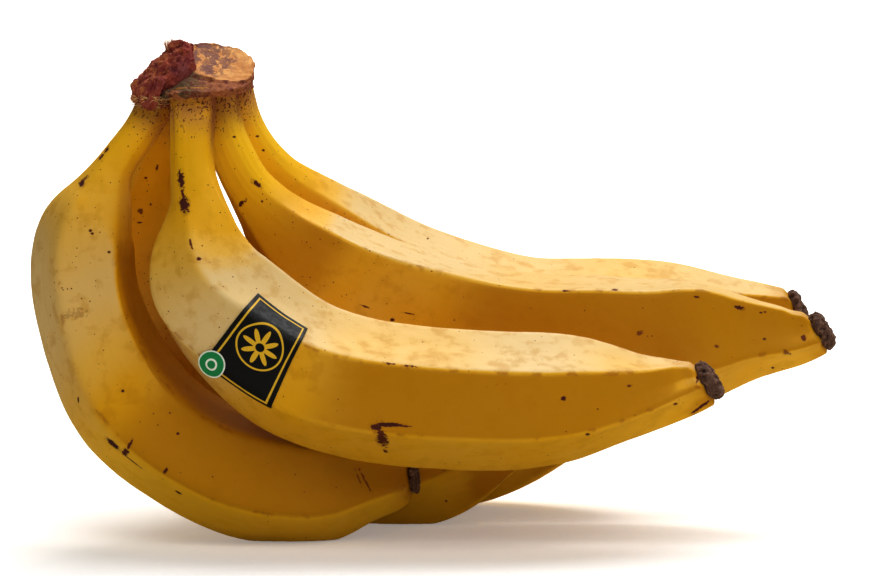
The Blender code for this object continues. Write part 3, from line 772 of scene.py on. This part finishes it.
# Blots on the cut face: place, half sizes and slant, as a bruise has them, and its darkness
BLOTS = [
    ((-59.8, -7, 129), (1.3, 8.5, 5), 0, 0.75), ((-60.4, -17, 126.2), (1.5, 3.4, 5), 0, 0.95),
    ((-57.2, -10.5, 127.8), (1.4, 2, 5), 0, 0.7), ((-65, -12, 129), (0.9, 5, 5), 0, 0.9),
    ((-62.8, -3.5, 130.6), (1.6, 3.2, 5), 0, 0.6), ((-63.6, -1, 131.8), (3.4, 2.4, 5), 0, 1),
]
DRAWN_BACK = (1.0, 0.35, 0.6)   # squeezes a pattern so that it is drawn out towards the back
MOTTLED = ((-60.6, -9.0, 128.8), (5.2, 11.0, 9.0))   # the part of the cut face with small blots


def ring_spline(rings, rows):
    """The numbers of some rings, each as one column, on a spline through them in equal steps."""
    last = len(rings) - 1
    step = np.linspace(0, last, rows)[:, None]
    return step, last, *np.moveaxis(spline(np.arange(last + 1, dtype=float), rings, step), -1, 0)


def stump_points():
    """Ovals that climb a spline through the rings to the cutting plane, then shrink across it to
    the middle. The height that goes with them runs from 0 to 1 up the band and to 2 on the face."""
    turn = full_turn(STUMP_COLUMNS)
    wide = np.sign(np.cos(turn)) * np.abs(np.cos(turn)) ** (2 / STUMP_CORNERS)
    deep = np.sign(np.sin(turn)) * np.abs(np.sin(turn)) ** (2 / STUMP_CORNERS)
    step, last, x, y, z, half_width, half_depth, right, back = ring_spline(STUMP_RINGS, BAND_ROWS)
    over_x, over_y = wide * half_width, deep * half_depth
    band = np.stack([x + over_x, y + over_y, z + right * over_x + back * over_y], axis=-1)
    middle = band[-1].mean(0)
    inwards = np.linspace(0.985, 0.01, FACE_ROWS)[:, None]
    face = middle + inwards[..., None] * (band[-1] - middle)
    height = np.concatenate([np.clip((step - 1) / (last - 1), 0, 1), 2 - inwards]) + 0 * turn
    return np.concatenate([band, face]), height


def crown_stump(material):
    """The stump's surface: bulges and short cracks on its band, a lip at the rim, a frayed lower
    edge, and the knife's slight dish with the torn fibre ends in it."""
    points, height = stump_points()
    band = ease(height / 0.12) * (1 - ease((height - 0.80) / 0.2))
    face = ease((height - 1.0) / 0.06)
    fringe = np.exp(-((height - 0.03) / 0.07) ** 2)
    cracks = np.abs(uneven(points, (1.5, 1.5, 5.0), 51))
    lift = band * (0.5 * uneven(points, (5.0, 5.0, 2.5), 52) + 0.45 * (0.6 - cracks))
    lift = lift + (1 - face) * (0.22 * uneven(points, 1.1, 53) + 0.10 * uneven(points, 0.5, 56))
    lift = lift + fringe * 0.5 * uneven(points, (0.9, 0.9, 0.9), 57)
    lift = lift + 0.35 * np.exp(-((height - 0.98) / 0.05) ** 2) * (1 + uneven(points, 1.8, 58))
    dish = ease((height - 1.05) / 0.4)
    lift = lift + face * (0.26 * uneven(points, 4.0, 54) + 0.10 * uneven(points, 1.0, 55) - 0.45 * dish)
    points = points + outward(points) * lift[..., None]
    piece(surface("crown_stump", points, height=height), material, "crown_brown", "crown")


def stump_finish():
    """Cork brown with grey, red and pale patches on the band, a pale fringe below, and the knife's
    face with its blots."""
    made, place = new_finish("crown_stump")
    tree = made.node_tree
    height = read(place, "height")
    left = between(add_node(tree, "ShaderNodeSeparateXYZ", {0: place})["X"], -58.0, -66.0)
    broad = cloudiness(place, 4.0, 3.0)
    medium = cloudiness(place, 1.6, 4.0)
    fine = cloudiness(place, 0.5, 4.0)
    cork = blended(times(left, between(broad, 0.35, 0.5)), CORK_BROWN, CORK_GREY)
    cork = layered(
        cork, (CORK_RED, 0.9, medium, 0.50, 0.62), (CORK_PALE, 0.55, fine, 0.55, 0.70),
        (CORK_PALE, 0.85, height, 0.10, 0.02)
    )
    cut = layered(CUT_ORANGE, (CUT_PEACH, 1.0, broad, 0.38, 0.62), (CUT_ORANGE, 0.6, left))
    stretch = {0: place, 1: DRAWN_BACK}
    drawn_back = add_node(tree, "ShaderNodeVectorMath", stretch, operation="MULTIPLY")[0]
    blotchy = cloudiness(drawn_back, 1.5, 4.0)
    cut = layered(cut, (CORK_BROWN, 0.40, blotchy, 0.58, 0.68))
    umber = cloudiness(drawn_back, 1.1, 4.0)
    mottled = effect(BRUISE, {
        "Vector": place, "Edge": 0.0, "Place": MOTTLED[0], "Half Size": MOTTLED[1], "Ragged": 0.0,
        "Darkness": 0.85
    })["Halo"]
    cut = blended(times(mottled, between(umber, 0.47, 0.54)), cut, CUT_UMBER)
    cut = blended(times(mottled, between(blotchy, 0.53, 0.59)), cut, CUT_BLOT)
    edge = scaled(medium, 2.4, -1.2)
    for spot, sizes, slant, darkness in BLOTS:
        blot = effect(BRUISE, {
            "Vector": place, "Edge": edge, "Place": spot, "Turn": (0.0, 0.0, slant), "Half Size": sizes,
            "Ragged": 1.3, "Darkness": darkness
        })["Core"]
        cut = blended(blot, cut, CUT_BLOT)
    colour = blended(between(height, 0.97, 1.03), cork, cut)
    roughness = between(height, 0.97, 1.03, 0.85, 0.62)
    return finished(made, colour, roughness, 0.3, reckon("ADD", fine, medium), 0.7, 0.5)


crown_stump(stump_finish())

# The torn side of the crown. The hand was pulled from its bunch here: a slab of maroon fibre that
# dried as it tore, flaked, with painted black shade in its creases, painted pink highlights on its
# raised flakes, and a smooth purple lobe beside the cut.

# A ring is (x, y, z, half width, half depth) in millimetres
TORN_RINGS = np.array([
    (-73.6, -19, 115.5, 1.8, 3.6), (-74.2, -19, 116.2, 4, 8.4), (-74.6, -18.9, 117.8, 5.5, 11),
    (-73.8, -18.5, 120.5, 6.1, 12), (-71.9, -17.8, 123, 5.8, 12), (-70.3, -17, 125.5, 5.4, 11.4),
    (-69.1, -16, 128, 4.1, 10.2), (-68.5, -15.2, 130.4, 3.3, 8.6), (-68, -14.5, 132, 2.6, 6.2),
    (-67.8, -14, 132.7, 1.3, 3),
])
TORN_ROWS = 210
TORN_COLUMNS = 290
LOBE = (-65.8, -27.0, 125.6)   # the smooth lobe's middle
LOBE_REACH = 3.4
TORN_LEAN = 0.45      # how far the creases lean to the right for each millimetre up
MAROON = (0.27, 0.042, 0.038)
RUST = (0.40, 0.080, 0.040)
ORANGE_FIBRE = (0.60, 0.22, 0.065)
LOBE_PURPLE = (0.19, 0.038, 0.048)
# The pink is a painted highlight on the raised flakes, and the black is painted shade in the creases.
FLAKE_HIGHLIGHT_PINK = (0.47, 0.15, 0.11)
CREASE_SHADE_BLACK = (0.022, 0.010, 0.010)


def torn_points():
    """Ovals that climb a spline through the rings, raised by broad folds, by creases drawn out
    upwards and to the right, and by grit, except on the smooth lobe."""
    step, last, x, y, z, half_width, half_depth = ring_spline(TORN_RINGS, TORN_ROWS)
    turn = full_turn(TORN_COLUMNS)
    points = np.stack([x + half_width * np.cos(turn), y + half_depth * np.sin(turn), z + 0 * turn], axis=-1)
    lobe = np.exp(-(np.linalg.norm(points - LOBE, axis=-1) / LOBE_REACH) ** 2)
    leaning = points.copy()
    leaning[..., 0] -= TORN_LEAN * points[..., 2]
    ends = ease(step / 0.7) * (1 - ease((step - last + 0.8) / 0.8))
    folds = uneven(points, 4.2, 61)
    creases = 1 - 2.2 * np.abs(uneven(leaning, (1.7, 2.0, 5.5), 62))
    flakes = 1 - 2.2 * np.abs(uneven(leaning, (0.9, 1.0, 2.2), 64))
    grit = uneven(points, 0.55, 63)
    smooth = ease((leaning[..., 0] + 128.5) / 5.0)
    rough = (0.80 * creases + 0.60 * flakes * (1 - 0.6 * smooth) + 0.20 * grit) * (1 - 0.2 * smooth)
    lift = (0.9 * folds + rough * (1 - 0.8 * lobe)) * (0.35 + 0.65 * ends) + 0.8 * lobe
    return points + outward(points) * lift[..., None], rough, lobe


def torn_finish():
    """Maroon and rust, orange on the raised flakes of the outer side, a painted pink highlight on the
    raised flakes, purple on the lobe, and painted black shade in the creases."""
    made, place = new_finish("torn_fibre")
    flake = read(place, "flake")
    lobe = read(place, "lobe")
    axes = add_node(made.node_tree, "ShaderNodeSeparateXYZ", {0: place})
    outer = between(scaled(axes["Z"], -0.7, axes["X"]), -157.0, -163.0)
    broad = cloudiness(place, 3.0, 3.0)
    medium = cloudiness(place, 1.3, 4.0)
    fine = cloudiness(place, 0.45, 5.0)
    raised = scaled(flake, 0.22, fine)
    colour = layered(MAROON, (RUST, 0.8, broad, 0.42, 0.60))
    orange = times(between(medium, 0.46, 0.60), scaled(outer, 0.75, 0.05))
    colour = blended(orange, colour, ORANGE_FIBRE)
    # Painted highlight in pink on the raised flakes, and painted shade in black down in the creases.
    colour = layered(
        colour, (ORANGE_FIBRE, 0.40, raised, 0.76, 0.98), (FLAKE_HIGHLIGHT_PINK, 0.45, raised, 0.60, 0.85),
        (CREASE_SHADE_BLACK, 0.92, raised, 0.48, 0.24), (LOBE_PURPLE, 0.9, lobe)
    )
    roughness = scaled(lobe, -0.35, between(fine, 0.3, 0.7, 0.72, 0.95))
    return finished(made, colour, roughness, 0.35, fine, 0.8, 0.6)


torn, torn_flake, torn_lobe = torn_points()
piece(surface("crown_torn", torn, flake=torn_flake, lobe=torn_lobe), torn_finish(), "crown_brown")

# The loose fibres of the tear: dry straw-coloured strands along the torn side's lower edge, and a
# tuft at its top. They are its own fibre, which parted and curled as it dried.
STRAND_ROWS = 7
STRAND_SIDES = 5
STRAND_WIDTH = 0.26     # millimetres
EDGE_STRANDS = 150
TUFT_STRANDS = 46
TUFT_MIDDLE = (-71.0, -16.5, 130.9)
TUFT_REACH = (1.2, 4.0, 0.8)
EDGE_ARC = (-2.75, -0.55)       # radians round the torn side, over its front
EDGE_HEIGHTS = (116.3, 119.0)
TORN_FOOT = (-74.5, -18.9)      # its middle at those heights
STRAW_FIBRE = (0.80, 0.50, 0.22)
DARK_FIBRE = (0.40, 0.17, 0.07)


def strands(name, roots, runs, sag):
    """Thin tapered tubes, each on a parabola from its root along its run that bulges by its sag.
    All are worked out at once, as rings of points round every curve."""
    share = np.linspace(0, 1, STRAND_ROWS)[None, :, None]
    line = roots[:, None] + runs[:, None] * share + sag[:, None] * 4 * share * (1 - share)
    forward = unit(np.gradient(line, axis=1))
    side = unit(np.cross(forward, np.array([0.31, 0.17, 0.93])))
    other = np.cross(forward, side)
    turn = full_turn(STRAND_SIDES).T
    width = STRAND_WIDTH / 2 * (1 - 0.75 * share)[..., None]
    rings = line[:, :, None] + width * (np.cos(turn) * side[:, :, None] + np.sin(turn) * other[:, :, None])
    first = np.arange(len(roots))[:, None, None] * STRAND_ROWS * STRAND_SIDES
    faces = (first + grid_faces(STRAND_ROWS, STRAND_SIDES)).reshape(-1, 4).tolist()
    caps = first[:, 0] + np.arange(STRAND_SIDES)
    faces += caps[:, ::-1].tolist() + (caps + (STRAND_ROWS - 1) * STRAND_SIDES).tolist()
    return new_mesh(name, rings, faces)


def fibre_finish():
    """Straw with darker stretches, quite dull."""
    made, place = new_finish("dry_fibre")
    spots = cloudiness(place, 1.1, 3.0)
    colour = layered(STRAW_FIBRE, (DARK_FIBRE, 1.0, spots, 0.44, 0.60))
    return finished(made, colour, between(spots, 0.3, 0.7, 0.7, 0.9), 0.3)


draw = np.random.default_rng(7)


def drawn(count, *ranges):
    """Random numbers from some ranges, drawn a range at a time, with one column for each."""
    return np.stack([draw.uniform(low, high, count) for low, high in ranges], axis=-1)


around_edge = draw.uniform(*EDGE_ARC, EDGE_STRANDS)
edge_height = draw.uniform(*EDGE_HEIGHTS, EDGE_STRANDS)
half_width, half_depth = (np.interp(edge_height, TORN_RINGS[:5, 2], TORN_RINGS[:5, i]) + 0.8 for i in (3, 4))
edge_roots = np.stack([
    TORN_FOOT[0] + half_width * np.cos(around_edge), TORN_FOOT[1] + half_depth * np.sin(around_edge),
    edge_height
], axis=-1)
edge_runs = drawn(EDGE_STRANDS, (-3.0, 3.0), (-0.4, 0.4), (-1.2, 1.2))
edge_sag = drawn(EDGE_STRANDS, (-0.4, 0.4), (-0.7, -0.1), (-0.5, 0.2))
tuft_roots = np.array(TUFT_MIDDLE) + draw.uniform(-1, 1, (TUFT_STRANDS, 3)) * np.array(TUFT_REACH)
tuft_runs = drawn(TUFT_STRANDS, (-1.2, 0.9), (-1.2, 1.2), (1.0, 2.9))
tuft_sag = draw.uniform(-0.35, 0.35, (TUFT_STRANDS, 3))
loose = strands("crown_fibres", *(
    np.concatenate(pair) for pair in ((edge_roots, tuft_roots), (edge_runs, tuft_runs), (edge_sag, tuft_sag))
))
piece(loose, fibre_finish(), "crown_brown")

# The label. It is a small glossy card of printed film stuck to the front upper banana, with a
# green disc over one corner. Its print is plain: a gold frame, a gold rosette, a pale ring.
LABEL_ALONG = 74.4
LABEL_ANGLE = 2.5
LABEL_TILT = 5.8
LABEL_SIZE = (17.5, 26.0)
DISC_CENTRE = (-7.0, -11.6)
DISC_TOUCH = (-5.5, -9.1)
DISC_RADIUS = 3.6
DISC_STIFFNESS = 0.75   # share of the disc's bend round the peel that its backing holds flat
CARD_LIFT = 0.22        # millimetres over the peel
DISC_LIFT = 0.45
FILM_THICKNESS = 0.15
FILM_ROWS = 28
FILM_TURN = full_turn(200)
CARD_BLACK = (0.010, 0.010, 0.009)
CARD_GOLD = (0.80, 0.50, 0.03)
DISC_GREEN = (0.012, 0.27, 0.085)
DISC_PALE = (0.80, 0.86, 0.78)


def over_peel(across, up, lift):
    """Places on the card carried onto the front upper finger and lifted off its peel."""
    tilt = math.radians(LABEL_TILT)
    along = LABEL_ALONG + across * math.cos(tilt) - up * math.sin(tilt)
    around = across * math.sin(tilt) + up * math.cos(tilt)
    here = station("upper_front", along)
    angle = np.radians(LABEL_ANGLE - here[..., 4]) + around / (here[..., 3] / 2)
    return peel_points("upper_front", along, angle, lift)


def over_flat(across, up, lift):
    """Places on a flat sheet that touches the card's surface at the disc's inner side."""
    x, y = DISC_TOUCH
    spots = over_peel(np.array([x, x + 1.0, x]), np.array([y, y, y + 1.0]), 0.0)
    run, rise = unit(spots[1] - spots[0]), unit(spots[2] - spots[0])
    flat = spots[0] + (across - x)[..., None] * run + (up - y)[..., None] * rise
    return flat + np.cross(run, rise) * lift


def film(name, middle, reach, lift, stiffness=0.0):
    """A thin closed sheet: a grid of rings from its middle to its edge, carried over the peel on
    both faces. Its two attributes are the places on the card."""
    share = np.linspace(0.02, 1, FILM_ROWS)[:, None]
    across = middle[0] + share * reach * np.cos(FILM_TURN)
    up = middle[1] + share * reach * np.sin(FILM_TURN)
    low, high = (
        (1 - stiffness) * over_peel(across, up, height) + stiffness * over_flat(across, up, height)
        for height in (lift, lift + FILM_THICKNESS)
    )
    points, across, up = (
        np.concatenate([upper, lower[::-1]])[:, ::-1]
        for upper, lower in ((high, low), (across, across), (up, up))
    )
    return surface(name, points, across=across, up=up)


def print_finish(name, ground, ink, shape):
    """Printed film: the ground colour with the ink where the shape's mask says."""
    made, place = new_finish(name)
    mask = shape(read(place, "across"), read(place, "up"))
    wrinkles = cloudiness(place, 1.2, 3.0)
    roughness = between(wrinkles, 0.3, 0.7, 0.48, 0.62)
    return finished(made, blended(mask, ground, ink), roughness, 0.3, wrinkles, 0.25, 0.3)


def distance_to(across, up, middle):
    """The distance of places on the card from one of them."""
    squares = [times(offset, offset) for offset in (
        reckon("SUBTRACT", across, middle[0]), reckon("SUBTRACT", up, middle[1])
    )]
    return reckon("SQRT", reckon("ADD", *squares))


def circle_line(distance, radius, outside, inside):
    """A thin circle: where the distance is within a half width of the radius."""
    return between(reckon("ABSOLUTE", reckon("SUBTRACT", distance, radius)), outside, inside)


def card_print(across, up):
    """A thin frame inside the card's edge, and a rosette of eight petals in the middle."""
    edge = reckon("MINIMUM", *(
        reckon("SUBTRACT", size / 2, reckon("ABSOLUTE", way)) for size, way in zip(LABEL_SIZE, (across, up))
    ))
    line = times(between(edge, 1.0, 1.15), between(edge, 1.65, 1.5))
    radius = distance_to(across, up, (0.0, 0.0))
    turn = reckon("ARCTAN2", up, across)
    petal = scaled(reckon("COSINE", times(turn, 8.0)), 1.6, 3.4)
    inside = reckon("SUBTRACT", petal, radius)
    flower = times(between(inside, 0.0, 0.15), between(radius, 1.1, 1.25))
    return reckon("MAXIMUM", line, reckon("MAXIMUM", flower, circle_line(radius, 6.0, 0.32, 0.18)))


def disc_print(across, up):
    """A pale rim line and a small pale ring."""
    radius = distance_to(across, up, DISC_CENTRE)
    rim = between(radius, DISC_RADIUS - 0.45, DISC_RADIUS - 0.3)
    return reckon("MAXIMUM", rim, circle_line(radius, 1.3, 0.32, 0.2))


card_reach = np.minimum(LABEL_SIZE[0] / 2 / np.maximum(np.abs(np.cos(FILM_TURN)), 1e-9),
                        LABEL_SIZE[1] / 2 / np.maximum(np.abs(np.sin(FILM_TURN)), 1e-9))
card = film("label_card", (0.0, 0.0), card_reach, CARD_LIFT)
piece(card, print_finish("label_card", CARD_BLACK, CARD_GOLD, card_print), "label_dark", "label")
disc = film("label_disc", DISC_CENTRE, DISC_RADIUS, DISC_LIFT, DISC_STIFFNESS)
piece(disc, print_finish("label_disc", DISC_GREEN, DISC_PALE, disc_print), "label_dark")

# The floor: a wide sweep of pale paper that curves up behind the fruit. To the camera it is nearly
# white, but it throws less and warmer light back, and the fruit's gloss doesn't mirror it.
SWEEP_WIDTH = 8000.0    # millimetres
SWEEP_FRONT = -3000.0
SWEEP_BEND = 3000.0
SWEEP_RADIUS = 1200.0
SWEEP_TOP = 4000.0
SWEEP_GAP = 0.3         # under the fruit, so that no two faces lie in one plane


def sweep():
    """A line along the floor, a quarter circle and a line up the wall, carried across the width."""
    bend = np.linspace(0, math.pi / 2, 24)[1:]
    y = np.concatenate([np.linspace(SWEEP_FRONT, SWEEP_BEND, 20), SWEEP_BEND + SWEEP_RADIUS * np.sin(bend),
                        np.full(6, SWEEP_BEND + SWEEP_RADIUS)])
    z = np.concatenate([np.zeros(20), SWEEP_RADIUS * (1 - np.cos(bend)),
                        np.linspace(SWEEP_RADIUS, SWEEP_TOP, 7)[1:]]) - SWEEP_GAP
    x = np.linspace(-SWEEP_WIDTH / 2, SWEEP_WIDTH / 2, 12)
    points = np.stack(np.broadcast_arrays(x[None, :], y[:, None], z[:, None]), axis=-1)
    return new_mesh("floor_sweep", points, grid_faces(len(y), len(x), closed=False).tolist())


paper = bpy.data.materials.new("white_paper")
paper.use_nodes = True
shader = paper.node_tree.nodes["Principled BSDF"].inputs
rays = add_node(paper.node_tree, "ShaderNodeLightPath")
paper_white = blended(rays["Is Camera Ray"], (0.78, 0.74, 0.62), (0.90, 0.90, 0.89))
paper_white = blended(rays["Is Glossy Ray"], paper_white, (0.10, 0.09, 0.07))
paper_glow = blended(rays["Is Camera Ray"], (0.18, 0.16, 0.11), (1.0, 1.0, 1.0))
paper.node_tree.links.new(paper_white, shader["Base Color"])
paper.node_tree.links.new(paper_glow, shader["Emission Color"])
shader["Emission Strength"].default_value = 0.28
shader["Roughness"].default_value = 0.9
floor = bpy.data.objects.new("floor_sweep", sweep())
floor.data.materials.append(paper)
bpy.context.collection.objects.link(floor)

# Light and camera: a wide soft light overhead and a little behind, a dim room in front, and a
# long lens 1.2 metres away that looks slightly down.


def stand(name, data, place, rotation):
    """A lamp or a camera at a place."""
    made = bpy.data.objects.new(name, data)
    made.location = place
    made.rotation_euler = rotation
    bpy.context.collection.objects.link(made)
    return made


def soft_light(name, place, target, width, depth, power):
    """A rectangular lamp at a place, turned to face a target."""
    lamp = bpy.data.lights.new(name, "AREA")
    lamp.shape = "RECTANGLE"
    lamp.size, lamp.size_y, lamp.energy = width, depth, power
    stand(name, lamp, place, (Vector(target) - Vector(place)).to_track_quat("-Z", "Y").to_euler())


soft_light("overhead_softbox", (0.45, 0.75, 1.9), (0.0, 0.10, 0.05), 1.8, 1.6, 43.0)
soft_light("front_softbox", (0.5, -1.6, 1.5), (0.0, 0.0, 0.07), 1.4, 1.2, 19.0)
soft_light("background_light", (0.1, 2.2, 2.4), (0.1, 3.4, 0.3), 1.8, 1.0, 70.0)

world = bpy.data.worlds.new("dim_room")
world.use_nodes = True
room = world.node_tree.nodes["Background"].inputs
room["Color"].default_value = (1.0, 1.0, 1.0, 1.0)
room["Strength"].default_value = 0.13
bpy.context.scene.world = world

LENS_LENGTH = 184.3     # millimetres, on a frame 36 wide
CAMERA_PLACE = (0.0009, -1.21733, 0.17199)
CAMERA_PITCH = math.radians(85)
lens = bpy.data.cameras.new("photo_camera")
lens.lens = LENS_LENGTH
lens.sensor_width = 36.0
camera = stand("photo_camera", lens, CAMERA_PLACE, (CAMERA_PITCH, 0.0, 0.0))
bpy.context.scene.camera = camera
bpy.context.scene.view_settings.view_transform = "Standard"
bpy.context.scene.view_settings.gamma = 0.8
